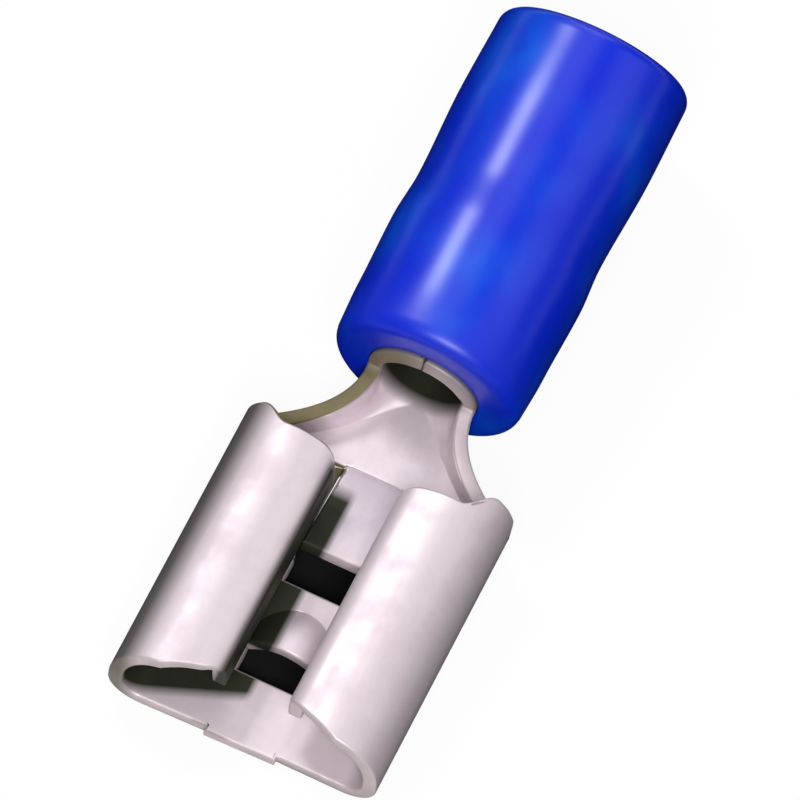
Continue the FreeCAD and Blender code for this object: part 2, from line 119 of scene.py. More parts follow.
class SheetSizes(bpy.types.PropertyGroup):
    """Sizes of the rolled sheet, in millimetres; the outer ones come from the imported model."""

    thickness: length("Thickness", "Thickness of the sheet", AXIS_HEIGHT - BORE_RADIUS)
    half_width: length("Half width", "Middle plane to the outside of a side wall", SHEET_HIGH.y / MM)
    receptacle: length("Receptacle length", "Front edge of the floor to the rear of the walls", 8.1)
    height: length("Height", "Underside of the floor to the top of the curls", 2.75)
    floor_corner: length("Floor corner", "Outer radius where the floor turns up", 0.95)
    roof_corner: length("Roof corner", "Outer radius where a wall turns over", 1.6)
    roof_slope: length("Roof slope", "Slope of the roof towards the gap, in degrees", 14.0)
    roof_flat: length("Roof flat", "Straight part of the roof", 0.46)
    bend: length("Lip bend", "Outer radius where the roof turns down into the lip", 0.7)
    gap: length("Gap", "Distance between the two free edges", 1.74)
    tab: length("Tab height", "Space between the floor and the free edges", 0.8)
    front_lean: length("Front lean", "How far the walls' front edges lean back", 0.2)
    rear_lean: length("Roof setback", "How far the roof's rear edge lies ahead of the walls' ones", 0.45)
    lip_front: length("Lip front", "Setback of the free edges at the mouth", 0.85)
    lip_rear: length("Lip rear", "Setback of the free edges at the neck", 0.95)
    step_out: length("Step out", "Wall to the outer end of the step in the rear edge", 0.45)
    shoulder: length("Shoulder", "Wall to the place where the cut-back corners begin", 1.3)
    rear_skew: length("Rear skew", "How much later the right wall ends than the left one", 0.22)
    front_skew: length("Front skew", "How far the mouth's left corner lies ahead of its right one", 0.13)
    stub_width: length("Stub width", "Width of the stub of the carrier strip", 2.1)
    window: length("Window width", "Width of the two windows in the floor", 2.0)
    dome_edge: length("Dome edge", "Front edge of the floor to the dome's cut edge", 2.5)
    dome_window: length("Dome window", "Length of the window in front of the dome", 0.75)
    dome_length: length("Dome length", "Cut edge to the back of the dome", 1.3)
    dome_rise: length("Dome rise", "Height of the dome above the floor", 0.6)
    stop_edge: length("Stop edge", "Front edge of the floor to the stop's free edge", 5.35)
    stop_window: length("Stop window", "Length of the window in front of the stop", 0.8)
    stop_root: length("Stop root", "Front edge of the floor to the root of the stop", 8.15)
    stop_slit: length("Stop slit", "Rear end of the slits beside the stop", 8.0)
    stop_rise: length("Stop rise", "Height of the stop's free edge above the floor", 0.74)
    slit_width: length("Slit width", "Gap on each side of the stop", 0.06)
    neck_bend: length("Neck bend", "Outer radius of the bend halfway along the neck", 0.62)
    neck_flat: length("Neck flat", "Half width of the floor that runs on to the barrel", 0.4)
    barrel_front: length("Barrel front", "Front edge of the floor to the barrel's rim", 10.6)
    flare: length("Flare", "Widening of the barrel's front rim", 0.06)
    seam: length("Seam", "Width of the seam on top of the barrel", 0.06)
    edge_round: length("Edge round", "Rounding of the cut edges", 0.07)


class SleeveSizes(bpy.types.PropertyGroup):
    """Sizes of the moulded sleeve, in millimetres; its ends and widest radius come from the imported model."""

    front_radius: length("Front radius", "Outer radius at the front end", 2.66)
    shoulder_place: length("Shoulder place", "Front edge of the floor to the end of the front taper", 12.4)
    shoulder_drop: length("Shoulder drop", "Widest radius less the radius behind the front taper", 0.055)
    ridge_place: length("Ridge place", "Front edge of the floor to the ridge before the waist", 14.5)
    ridge_drop: length("Ridge drop", "Widest radius less the radius of the ridge", 0.01)
    waist_place: length("Waist place", "Front edge of the floor to the waist", 15.9)
    waist_drop: length("Waist drop", "Widest radius less the radius of the waist", 0.09)
    bulge_place: length("Bulge place", "Front edge of the floor to the widest place", 18.7)
    rear_radius: length("Rear radius", "Outer radius at the rear end", 2.74)
    seat_end: length("Seat end", "Front edge of the floor to the end of the seat", 16.8)
    funnel: length("Funnel", "Length of the funnel behind the seat", 0.8)
    front_round: length("Front round", "Rounding of the outer rims", 0.42)
    entry_round: length("Entry round", "Rounding of the wire entry", 0.15)
    clearance: length("Clearance", "Gap between the barrel and the seat", 0.01)
    middle_length: length("Length", "Length of the sleeve at its axis", 10.7)
    slant: length("Rear slant", "How far the rear end's top lies ahead of its middle", 0.5)


class Finish(bpy.types.PropertyGroup):
    """Colours of the finishes, as linear values."""

    tin: tint("Tin", "Tin plating on the sheet", (0.90, 0.79, 0.85))
    tin_dull: tint("Dull tin", "Duller blotches of the plating", (0.79, 0.68, 0.73))
    # painted shade: a dark colour standing in for the shadows in the barrel's mouth, under the left curl and
    # beside its lip, and for a dark reflection on the left wall
    painted_shade: tint("Tarnish", "Dark film in the barrel's mouth and under the left curl", (0.03, 0.032, 0.018))
    # bare brass at the cut edges, and painted shade where the left cut edges behind the receptacle get more of
    # it
    brass_and_shade: tint("Brass", "Bare brass at the cut edges", (0.26, 0.22, 0.12))
    sleeve: tint("Sleeve", "Blue of the sleeve", (0.0, 0.022, 0.68))
    sleeve_pale: tint("Pale blue", "Paler clouds in the sleeve", (0.0, 0.11, 0.80))
    floor: tint("Floor", "White page under the terminal", (0.92, 0.92, 0.92))
    # the dark table that the terminal mirrors, and also the painted shadow that the lens sees on the floor
    # under the receptacle
    table_and_shadow: tint("Table", "Dark table that the terminal mirrors", (0.012, 0.012, 0.012))


class Field:
    """One shader socket, with arithmetic that adds Math nodes."""

    def __init__(self, tree, socket):
        self.tree = tree
        self.socket = socket

    def node(self, kind, settings=None, **inputs):
        """Add any node: its settings first, then values or links for its sockets, by name or by number."""
        made = self.tree.nodes.new(kind)
        for name, value in (settings or {}).items():
            setattr(made, name, value)
        for name, value in inputs.items():
            key = int(name[1:]) if name[0] == "i" and name[1:].isdigit() else name.replace("_", " ")
            if isinstance(value, Field):
                self.tree.links.new(value.socket, made.inputs[key])
            else:
                made.inputs[key].default_value = value
        return made

    def out(self, made, name=0):
        """One output of a node, by name or by number."""
        return Field(self.tree, made.outputs[name])

    def math(self, operation, first, second=None):
        """Any Math node, of one value or of two."""
        inputs = {"i0": first} if second is None else {"i0": first, "i1": second}
        return self.out(self.node("ShaderNodeMath", {"operation": operation}, **inputs))

    def __add__(self, other):
        return self.math("ADD", self, other)

    __radd__ = __add__

    def __mul__(self, other):
        return self.math("MULTIPLY", self, other)

    __rmul__ = __mul__

    def __sub__(self, other):
        return self.math("SUBTRACT", self, other)

    def __rsub__(self, other):
        return self.math("SUBTRACT", other, self)

    def clamp(self):
        """The value kept between 0 and 1."""
        return self.out(self.node("ShaderNodeClamp", None, Value=self))

    def above(self, start, rate):
        """0 up to the start, then rising at the rate to 1."""
        return ((self - start) * rate).clamp()

    def below(self, end, rate):
        """0 from the end on, and before it rising at the rate to 1."""
        return ((end - self) * rate).clamp()


def new_material(name):
    """Empty material with its shader, its output and a field of Object coordinates."""
    material = bpy.data.materials.new(name)
    material.use_nodes = True
    tree = material.node_tree
    tree.nodes.clear()
    end = tree.nodes.new("ShaderNodeOutputMaterial")
    shader = tree.nodes.new("ShaderNodeBsdfPrincipled")
    tree.links.new(shader.outputs[0], end.inputs["Surface"])
    place = tree.nodes.new("ShaderNodeTexCoord")
    return material, shader, Field(tree, place.outputs["Object"])


def scaled(place, x, y, z):
    """Object coordinates stretched along each axis."""
    mapping = place.node("ShaderNodeMapping", None, Vector=place, Scale=(x, y, z))
    return place.out(mapping)


def axes(place):
    """X, Y and Z of a place as fields."""
    split = place.node("ShaderNodeSeparateXYZ", None, Vector=place)
    return [place.out(split, axis) for axis in range(3)]


def noise(place, scale, detail=3.0, roughness=0.5):
    """Cloudy noise from 0 to 1, mostly near a half."""
    numbers = {"Scale": scale, "Detail": detail, "Roughness": roughness}
    return place.out(place.node("ShaderNodeTexNoise", None, Vector=place, **numbers))


def attribute(place, name):
    """A number that the piece carries at its points."""
    return place.out(place.node("ShaderNodeAttribute", {"attribute_name": name}), "Fac")


def blend_colour(place, factor, first, second):
    """First colour at factor 0, second colour at factor 1."""
    made = place.node("ShaderNodeMix", {"data_type": "RGBA"})
    for socket, value in ((made.inputs[0], factor), (made.inputs[6], first), (made.inputs[7], second)):
        if isinstance(value, Field):
            place.tree.links.new(value.socket, socket)
        else:
            socket.default_value = value
    return place.out(made, 2)


def link(field, socket):
    """Lead a field into a socket."""
    field.tree.links.new(field.socket, socket)


def painted_shade_places(along, left, high, inner):
    """Where the painted shade lies, from 0 to 1: in all, beside the left lip alone, and in the barrel's mouth.

    In the barrel's mouth and beside the lip it is painted shadow. Beside the lip it covers the inside
    of the left curl, and the floor and the stop up to a plane that leans with the view,
    deep = left + lean * high, as long as they lie under the roof. Three quarters of it on the left
    outer wall is a painted dark reflection.
    """
    # painted shadow in the barrel's mouth, and under the left curl and beside its lip
    mouth = along.above(MOUTH_START, 2000.0) * along.below(MOUTH_END, 500.0)
    deep = left + high * LIP_LEAN
    curl = inner * along.above((CURL_START - left) * CURL_LEAN, 3000.0)
    lip = (1.0 - inner) * deep.below(LIP_LEFT, 6000.0) * high.above(GAP_LOW, 5000.0)
    gap = (curl + lip) * deep.above(LIP_RIGHT, 5000.0)
    gap = gap * along.below(GAP_REAR, 2000.0) * high.below(GAP_HIGH, 3000.0)
    # painted dark reflection on the left outer wall
    wall = (1.0 - inner) * left.above(LEFT_WALL, 2000.0)
    return mouth.math("MAXIMUM", mouth, gap) + wall * 0.75, gap, mouth


def tin_finish(colours):
    """Matt tin plating: rolling streaks along the strip, soft blotches and fine grain.

    The edges were cut after the plating, so the brass shows there, most on the left behind the
    receptacle; that extra brass on the left is painted shade. Painted shadow lies in the barrel's
    mouth, in the left curl and beside its lip, and a thinner painted dark reflection on the left wall.
    """
    material, shader, place = new_material("tin_plating")
    streaks = noise(scaled(place, 60.0, 900.0, 900.0), scale=5.0, detail=4.0)
    blotches = noise(place, scale=900.0, roughness=0.55)
    grain = noise(place, scale=6000.0, detail=2.0)
    dull = blotches.above(0.42, 3.2)
    base = blend_colour(place, (dull + streaks * 0.5).clamp(), (*colours.tin, 1.0), (*colours.tin_dull, 1.0))
    along, left, high = axes(place)
    # painted shade over the plating: shadows in the barrel's mouth, in the left curl and beside its lip, and a
    # dark reflection on the left wall
    shade, gap, mouth = painted_shade_places(along, left, high, attribute(place, "inner_side"))
    base = blend_colour(place, shade, base, (*colours.painted_shade, 1.0))
    cut = attribute(place, "cut_edge")
    # real brass on all cut edges, and more of it on the left ones behind the receptacle as painted shade
    cut = cut * (along.above(LEFT_EDGE_SHADE_START, 500.0) * (left * 900.0 + 0.5).clamp() * 0.75 + 0.25)
    base = blend_colour(place, cut * (1.0 - gap) * (1.0 - mouth * 0.6), base, (*colours.brass_and_shade, 1.0))
    link(base, shader.inputs["Base Color"])
    link(0.42 + 0.14 * streaks + 0.12 * dull + 0.25 * cut, shader.inputs["Roughness"])
    shader.inputs["Metallic"].default_value = 0.50
    height = streaks * 0.6 + grain * 0.4 + blotches * 0.8
    bump = place.node("ShaderNodeBump", None, Height=height, Strength=0.25, Distance=0.00002)
    link(place.out(bump), shader.inputs["Normal"])
    return material


def sleeve_finish(colours):
    """Soft glossy plastic: slightly cloudy blue with a faint moulded skin, duller at the front end."""
    material, shader, place = new_material("blue_moulded_plastic")
    clouds = noise(scaled(place, 0.6, 1.0, 1.0), scale=420.0)
    skin = noise(scaled(place, 0.5, 1.0, 1.0), scale=900.0, detail=4.0)
    pale = clouds.above(0.40, 2.8)
    base = blend_colour(place, pale * pale, (*colours.sleeve, 1.0), (*colours.sleeve_pale, 1.0))
    link(base, shader.inputs["Base Color"])
    matt = axes(place)[0].below(MATT_END, 600.0)
    link(0.27 + 0.05 * skin + 0.12 * matt * matt, shader.inputs["Roughness"])
    shader.inputs["Specular IOR Level"].default_value = 0.6
    bump = place.node("ShaderNodeBump", None, Height=skin, Strength=0.15, Distance=0.00003)
    link(place.out(bump), shader.inputs["Normal"])
    return material


def new_piece(name, points, faces, node, material):
    """Object at the origin from points in millimetres and quads, riding on the body in the node's place."""
    mesh = bpy.data.meshes.new(name)
    mesh.from_pydata((points * MM).tolist(), [], faces.tolist())
    mesh.validate()
    mesh.shade_smooth()
    mesh.materials.append(material)
    piece = bpy.data.objects.new(name, mesh)
    bpy.context.scene.collection.objects.link(piece)
    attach(piece, BODY)
    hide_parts(node)
    return piece


def grid_faces(rows, columns, keep=None, offset=0):
    """Quads of a grid of points numbered row by row; keep is a mask of the cells."""
    index = np.arange(rows * columns).reshape(rows, columns) + offset
    quads = np.stack([index[:-1, :-1], index[:-1, 1:], index[1:, 1:], index[1:, :-1]], axis=-1)
    if keep is not None:
        return quads[keep]
    return quads.reshape(-1, 4)


def spaced(stops, step):
    """Rising values through all the stops, about one step apart."""
    runs = [np.linspace(a, b, max(2, int(round((b - a) / step)) + 1))[:-1] for a, b in zip(stops, stops[1:])]
    return np.concatenate(runs + [np.array([stops[-1]])])


def join(patches):
    """One set of points and quads from several patches, with points at the same place made one."""
    points = np.concatenate([patch[0] for patch in patches])
    starts = np.cumsum([0] + [len(patch[0]) for patch in patches[:-1]])
    faces = np.concatenate([patch[1] + start for patch, start in zip(patches, starts)])
    merged, back = np.unique(np.round(points, 5), axis=0, return_inverse=True)
    faces = back.reshape(-1)[faces]
    used, again = np.unique(faces, return_inverse=True)
    return merged[used], again.reshape(faces.shape)


def point_normals(points, faces):
    """Unit normals at the points: the mean of the quads' normals, weighted by area."""
    corners = points[faces]
    flat = np.cross(corners[:, 2] - corners[:, 0], corners[:, 3] - corners[:, 1])
    total = np.zeros_like(points)
    for k in range(4):
        np.add.at(total, faces[:, k], flat)
    return total / np.maximum(np.linalg.norm(total, axis=1, keepdims=True), 1e-12)


def open_edges(faces):
    """Edges that only one quad uses, in that quad's order."""
    edges = np.concatenate([faces[:, [k, (k + 1) % 4]] for k in range(4)])
    key = np.sort(edges, axis=1)
    _, back, count = np.unique(key, axis=0, return_inverse=True, return_counts=True)
    return edges[count[back.reshape(-1)] == 1]


def thicken(points, faces, thickness, radius):
    """Closed sheet from its outer face, with rounded rims.

    The inner face is p - t n for the point normal n. At an open edge, with b the direction out of
    the surface, the outer face ends at p - r b, and quarter circles of radius r about
    p - r b - r n and p - r b - (t - r) n lead round the rim. Where two edges meet, b is the
    sum of both directions over one plus their dot product, so that the rim keeps its distance.
    The last two results are 1 at the points of the rims, and 1 at those of the inner side.
    """
    normal = point_normals(points, faces)
    edges = open_edges(faces)
    run = points[edges[:, 1]] - points[edges[:, 0]]
    middle = normal[edges[:, 0]] + normal[edges[:, 1]]
    out = np.cross(run, middle)
    out /= np.maximum(np.linalg.norm(out, axis=1, keepdims=True), 1e-12)
    total = np.zeros_like(points)
    np.add.at(total, edges[:, 0], out)
    np.add.at(total, edges[:, 1], out)
    # two unit vectors: the square of their sum is twice one plus their dot product
    size = (total**2).sum(axis=1, keepdims=True) / 2
    total = total / np.maximum(size, SHARPEST)
    rim = np.unique(edges)
    count = len(points)
    outer = points - radius * total
    inner = outer - thickness * normal
    turns = np.linspace(0, math.pi / 2, 4)
    loops = []
    for depth, angles in ((radius, turns[1:]), (thickness - radius, turns[:-1] + math.pi / 2)):
        centre = outer[rim] - depth * normal[rim]
        for angle in angles:
            loops.append(centre + radius * (math.cos(angle) * normal[rim] + math.sin(angle) * total[rim]))
    place = np.full(count, -1)
    place[rim] = np.arange(len(rim))
    first, second = place[edges[:, 0]], place[edges[:, 1]]
    starts = [2 * count + k * len(rim) for k in range(len(loops))]
    rings = [(edges[:, 0], edges[:, 1])]
    rings += [(first + start, second + start) for start in starts]
    rings.append((edges[:, 0] + count, edges[:, 1] + count))
    strips = [np.stack([b, a, c, d], axis=1) for (a, b), (c, d) in zip(rings, rings[1:])]
    all_points = np.concatenate([outer, inner] + loops)
    ring = len(loops) * len(rim)
    cut = np.concatenate([np.zeros(2 * count), np.ones(ring)])
    inner_side = np.concatenate([np.zeros(count), np.ones(count), np.zeros(ring)])
    return all_points, np.concatenate([faces, faces[:, ::-1] + count] + strips), cut, inner_side


class CurlPath:
    """Outer face of half the receptacle's section, as a path measured from the middle of the floor.

    It is a line along the floor, a quarter turn, the wall, the roof's turn, a short flat,
    the lip's bend and the straight lip, each tangent to the one before it.
    """

    ARC_POINTS = 60

    def __init__(self, sizes):
        t = sizes.thickness
        slope = math.radians(sizes.roof_slope)
        roof = (sizes.half_width - sizes.roof_corner, sizes.height - sizes.roof_corner)
        reach = sizes.roof_corner - sizes.bend
        bend = (
            roof[0] - reach * math.sin(slope) - sizes.roof_flat * math.cos(slope),
            roof[1] + reach * math.cos(slope) - sizes.roof_flat * math.sin(slope),
        )
        across = bend[0] - sizes.gap / 2
        down = bend[1] - t - sizes.tab
        lip = math.atan2(down, across) + math.asin((sizes.bend - t) / math.hypot(across, down))
        end = (sizes.gap / 2, t + sizes.tab + t * math.cos(lip))
        corner = (sizes.half_width - sizes.floor_corner, sizes.floor_corner)
        arcs = [
            (corner, sizes.floor_corner, -math.pi / 2, 0.0),
            (roof, sizes.roof_corner, 0.0, math.pi / 2 + slope),
            (bend, sizes.bend, math.pi / 2 + slope, math.pi / 2 + lip),
        ]
        runs = [np.array([[0.0, 0.0]])]
        for centre, radius, start, stop in arcs:
            angle = np.linspace(start, stop, self.ARC_POINTS)
            y, z = centre[0] + radius * np.cos(angle), centre[1] + radius * np.sin(angle)
            runs.append(np.stack([y, z], axis=1))
        runs.append(np.array([end]))
        self.points = np.concatenate(runs)
        steps = np.hypot(*np.diff(self.points, axis=0).T)
        self.along = np.concatenate([[0.0], np.cumsum(steps)])
        self.floor_end = self.along[1]
        self.corner_end = self.along[self.ARC_POINTS]
        self.total = self.along[-1]

    def at(self, distance):
        """Y and Z at signed distances; negative ones lie on the right side."""
        y = np.interp(np.abs(distance), self.along, self.points[:, 0]) * np.sign(distance)
        return y, np.interp(np.abs(distance), self.along, self.points[:, 1])


def eased(way):
    """w^2 (3 - 2 w) of a way kept between 0 and 1: it starts and ends softly."""
    way = np.clip(way, 0, 1)
    return way**2 * (3 - 2 * way)


def rounded_foot(height, soft):
    """s log(1 + exp(d / s)) of a height d: about d above the floor, and softly 0 below it."""
    return soft * np.log1p(np.exp(np.clip(height / soft, -30, 60)))


def lift(sizes, x, y):
    """Height of the floor's underside above the flat: the dome and the sloping stop.

    The dome is a paraboloid behind its cut edge. The stop is a plane that falls to its root,
    with a small groove behind it, of depth g exp(-u^2) for the distance u in groove widths.
    """
    ahead = (x - sizes.dome_edge) / sizes.dome_length
    side = y / (sizes.window / 2)
    dome = np.where(ahead >= -TINY, sizes.dome_rise * rounded_foot(1 - ahead**2 - side**2, DOME_FOOT), 0.0)
    run = sizes.stop_root - sizes.stop_edge
    share = rounded_foot(sizes.stop_root - x, STOP_FOOT) / run
    within = np.abs(side) <= 1.0
    tongue = np.where((x >= sizes.stop_edge - TINY) & within, sizes.stop_rise * share, 0.0)
    behind = (x - sizes.stop_root - GROOVE_PLACE) / GROOVE_WIDTH
    tongue = tongue - GROOVE_DEPTH * np.exp(-(behind**2)) * within
    fade = eased((1.0 - np.abs(side)) / STOP_SIDE_FADE)
    tongue = np.where(x > sizes.stop_slit - TINY, tongue * fade, tongue)
    return dome + tongue


def neck_rows(sizes, share, fractions):
    """Y and Z of the neck's outer face at one share of its length.

    The half section is a flat, a bend and a straight leaning wall. Its flat, its rim's half width
    and its rim's height follow powers of the share between the receptacle's corner and the barrel.
    """
    barrel = AXIS_HEIGHT
    corner = sizes.floor_corner
    rim_half = barrel + (sizes.half_width - barrel) * (1 - share) ** NECK_RIM_POWER
    rim_up = corner + (barrel - corner) * share**NECK_RISE_POWER
    end = sizes.neck_flat
    flat = (sizes.half_width - corner - end) * (1 - share) ** NECK_FLAT_POWER
    flat = flat + end * (1 - share**NECK_END_POWER)
    dip = 4 * share * (1 - share)
    bend = (corner * (1 - share) + barrel * share) * (1 - dip) + sizes.neck_bend * dip
    across = rim_half - flat
    # the bend is at most the one arc from the flat's end to the rim
    whole_arc = (across * across + rim_up * rim_up) / (2 * rim_up)
    bend = min(bend, whole_arc)
    up = rim_up - bend
    wall = math.sqrt(max(across * across + up * up - bend * bend, 0.0))
    angle = math.atan2(up, across) + math.atan2(bend, wall)
    arc = bend * angle
    way = np.abs(fractions) * (flat + arc + wall)
    turn = np.clip((way - flat) / bend, 0, angle)
    rest = np.clip(way - flat - arc, 0, None)
    y = np.minimum(way, flat) + bend * np.sin(turn) + rest * math.cos(angle)
    z = bend - bend * np.cos(turn) + rest * math.sin(angle)
    return y * np.sign(fractions), z


def edge_places(sizes, path, columns):
    """Front and rear X of the receptacle at each column: leaning walls and cut-back free corners."""
    y, z = path.at(columns)
    y = np.abs(y)
    past = (np.abs(columns) > path.corner_end).astype(float)
    rise = np.clip((z - sizes.floor_corner) / (sizes.height - sizes.floor_corner), 0, 1) * past
    front = sizes.front_lean * rise
    shoulder = sizes.half_width - sizes.shoulder
    over = (np.abs(columns) > path.corner_end + ROOF_AFTER).astype(float)
    way = np.clip((shoulder - y) / (shoulder - sizes.gap / 2), 0, 1) * over
    front = np.where(way > 0, sizes.front_lean + (sizes.lip_front - sizes.front_lean) * way, front)
    step = eased((sizes.half_width - sizes.step_out - y) / (sizes.shoulder - sizes.step_out)) * over
    rounded = 1 - np.sqrt(np.clip(1 - way**CORNER_POWER, 0, 1))
    rear = sizes.receptacle - sizes.rear_lean * step - (sizes.lip_rear - sizes.rear_lean) * rounded
    # one wall ends a little later than the other
    rear += sizes.rear_skew * eased((-columns - path.corner_end) / SKEW_RUN) * (1 - step)
    return front, rear


def mouth_skew(sizes, y):
    """How far the front edge lies ahead at each Y: nothing on the right, most at the left wall."""
    return sizes.front_skew * np.clip((y + 1) / (sizes.half_width + 1), 0, 1)


def receptacle_patch(sizes, path):
    """Grid of the receptacle: rows along X, columns across the unrolled sheet, windows left out."""
    half = sizes.window / 2
    slit = half - sizes.slit_width
    side = spaced([0, slit - EDGE_CELL, slit], STRIP_STEP)
    stops = [half, half + EDGE_CELL, path.floor_end, path.corner_end - 2 * EDGE_CELL, path.corner_end]
    wide = spaced(stops + [path.total - EDGE_CELL, path.total], CURL_STEP)
    right = np.concatenate([side, wide])
    columns = np.concatenate([-right[:0:-1], right])
    dome_front = sizes.dome_edge - sizes.dome_window
    stop_front = sizes.stop_edge - sizes.stop_window
    stops = [0, EDGE_CELL, dome_front - EDGE_CELL, dome_front, sizes.dome_edge, sizes.dome_edge + EDGE_CELL]
    stops += [stop_front - EDGE_CELL, stop_front, sizes.stop_edge, sizes.stop_edge + EDGE_CELL]
    rows = spaced(stops + [sizes.stop_slit, sizes.receptacle - EDGE_CELL, sizes.receptacle], ROW_STEP)
    y, z = path.at(columns)
    front, rear = edge_places(sizes, path, columns)
    x = front[None, :] + (rear - front)[None, :] * (rows / sizes.receptacle)[:, None]
    # the mouth is cut slightly askew
    x = x - mouth_skew(sizes, y)[None, :] * np.clip(1 - rows, 0, 1)[:, None]
    across = np.broadcast_to(y, x.shape)
    up = z[None, :] + lift(sizes, x, across) * (np.abs(columns) < path.floor_end)[None, :]
    points = np.stack([x, across, up], axis=-1).reshape(-1, 3)
    row_middle = (rows[1:] + rows[:-1]) / 2
    column_middle = np.abs(columns[1:] + columns[:-1]) / 2

    def between(values, low, high):
        return (values > low) & (values < high)

    open_x = between(row_middle, dome_front, sizes.dome_edge)
    open_x |= between(row_middle, stop_front, sizes.stop_edge)
    hole = open_x[:, None] & (column_middle < half)[None, :]
    slit_x = between(row_middle, sizes.stop_edge, sizes.stop_slit)
    hole |= slit_x[:, None] & between(column_middle, slit, half)[None, :]
    return points, grid_faces(len(rows), len(columns), ~hole), columns


def stub_patch(sizes, columns):
    """Short stub of the carrier strip in front of the floor."""
    chosen = columns[np.abs(columns) <= sizes.stub_width / 2 + 0.001]
    rows = np.array([SHEET_LOW.x / MM, 0.0])
    x, y = np.meshgrid(rows, chosen, indexing="ij")
    points = np.stack([x - mouth_skew(sizes, y), y, np.zeros_like(x)], axis=-1).reshape(-1, 3)
    return points, grid_faces(len(rows), len(chosen))


def neck_patch(sizes, path, columns):
    """Grid of the neck, whose columns go on from the receptacle's floor and corners."""
    chosen = columns[np.abs(columns) <= path.corner_end + TINY]
    fractions = chosen / path.corner_end
    shares = np.linspace(0, 1, NECK_ROWS)
    section = np.array([neck_rows(sizes, share, fractions) for share in shares])
    places = sizes.receptacle + (sizes.barrel_front - sizes.receptacle) * shares
    x = np.broadcast_to(places[:, None], section[:, 0].shape)
    up = section[:, 1] + lift(sizes, x, section[:, 0])
    points = np.stack([x, section[:, 0], up], axis=-1).reshape(-1, 3)
    return points, grid_faces(len(shares), len(chosen)), fractions


def barrel_patch(sizes, fractions):
    """Grid of the wire barrel: a circle from seam to seam, with a bell mouth on the upper front rim."""
    radius = AXIS_HEIGHT
    seam_angle = math.pi - sizes.seam / 2 / radius
    upper = np.linspace(math.pi / 2, seam_angle, BARREL_COLUMNS)[1:]
    angle = np.concatenate([-upper[::-1], fractions * math.pi / 2, upper])
    front, rear = sizes.barrel_front, SHEET_HIGH.x / MM
    rows = spaced([front, front + EDGE_CELL, front + 0.4, rear - EDGE_CELL, rear], BARREL_STEP)
    x, turn = np.meshgrid(rows, angle, indexing="ij")
    reach = np.clip(1 - (x - front) / FLARE_RUN, 0, 1)
    high = np.clip((np.abs(turn) - math.pi / 2) / FLARE_TURN, 0, 1)
    r = radius + sizes.flare * reach**FLARE_POWER * high
    points = np.stack([x, r * np.sin(turn), AXIS_HEIGHT - r * np.cos(turn)], axis=-1).reshape(-1, 3)
    return points, grid_faces(len(rows), len(angle))


def sheet_surface(sizes):
    """The whole outer face of the sheet as one surface."""
    path = CurlPath(sizes)
    points, faces, columns = receptacle_patch(sizes, path)
    neck_points, neck_faces, fractions = neck_patch(sizes, path, columns)
    neck = (neck_points, neck_faces)
    return join([(points, faces), stub_patch(sizes, columns), neck, barrel_patch(sizes, fractions)])


def sleeve_profile(sizes):
    """Closed outline of the sleeve's wall as distance along X and radius.

    The outside passes from one named radius to the next by w^2 (3 - 2 w): front, shoulder, ridge,
    waist, bulge and rear. The rims are quarter circles, and the inside is a seat, a funnel and
    the wire entry.
    """
    front = SLEEVE_LOW.x / MM
    rear = front + sizes.middle_length
    seat = AXIS_HEIGHT + sizes.clearance
    widest = SLEEVE_HIGH.y / MM
    round_out = sizes.front_round
    round_in = sizes.entry_round
    funnel_end = sizes.seat_end + sizes.funnel
    seat_front = front + 1.5 * SEAT_ROUND

    places = [front, sizes.shoulder_place, sizes.ridge_place, sizes.waist_place, sizes.bulge_place, rear]
    radii = [
        sizes.front_radius, widest - sizes.shoulder_drop, widest - sizes.ridge_drop,
        widest - sizes.waist_drop, widest, sizes.rear_radius,
    ]

    def outer(x):
        grown = np.full(np.shape(x), radii[0])
        for k in range(len(places) - 1):
            way = (x - places[k]) / (places[k + 1] - places[k])
            grown = grown + (radii[k + 1] - radii[k]) * eased(way)
        return grown

    quarter = np.linspace(0, math.pi / 2, RIM_POINTS)
    rise, fall = np.sin(quarter), np.cos(quarter)
    x = np.linspace(front + round_out, rear - round_out, OUTSIDE_POINTS)
    end = outer(rear)
    start = outer(front)
    lines = [
        (x, outer(x)),
        (rear - round_out + round_out * rise[1:], end - round_out + round_out * fall[1:]),
        (rear - round_in + round_in * fall, ENTRY_RADIUS + round_in - round_in * rise),
        (np.linspace(rear - 0.4, funnel_end, INSIDE_POINTS), np.full(INSIDE_POINTS, ENTRY_RADIUS)),
        (np.linspace(funnel_end - 0.1, sizes.seat_end, 8), np.linspace(ENTRY_RADIUS - FUNNEL_LIP, seat, 8)),
        (np.linspace(sizes.seat_end - 0.2, seat_front, INSIDE_POINTS), np.full(INSIDE_POINTS, seat)),
        (front + SEAT_ROUND - SEAT_ROUND * rise, seat + SEAT_ROUND - SEAT_ROUND * fall),
        (front + round_out - round_out * fall[:-1], start - round_out + round_out * rise[:-1]),
    ]
    return np.concatenate([np.stack(line, 1) for line in lines])


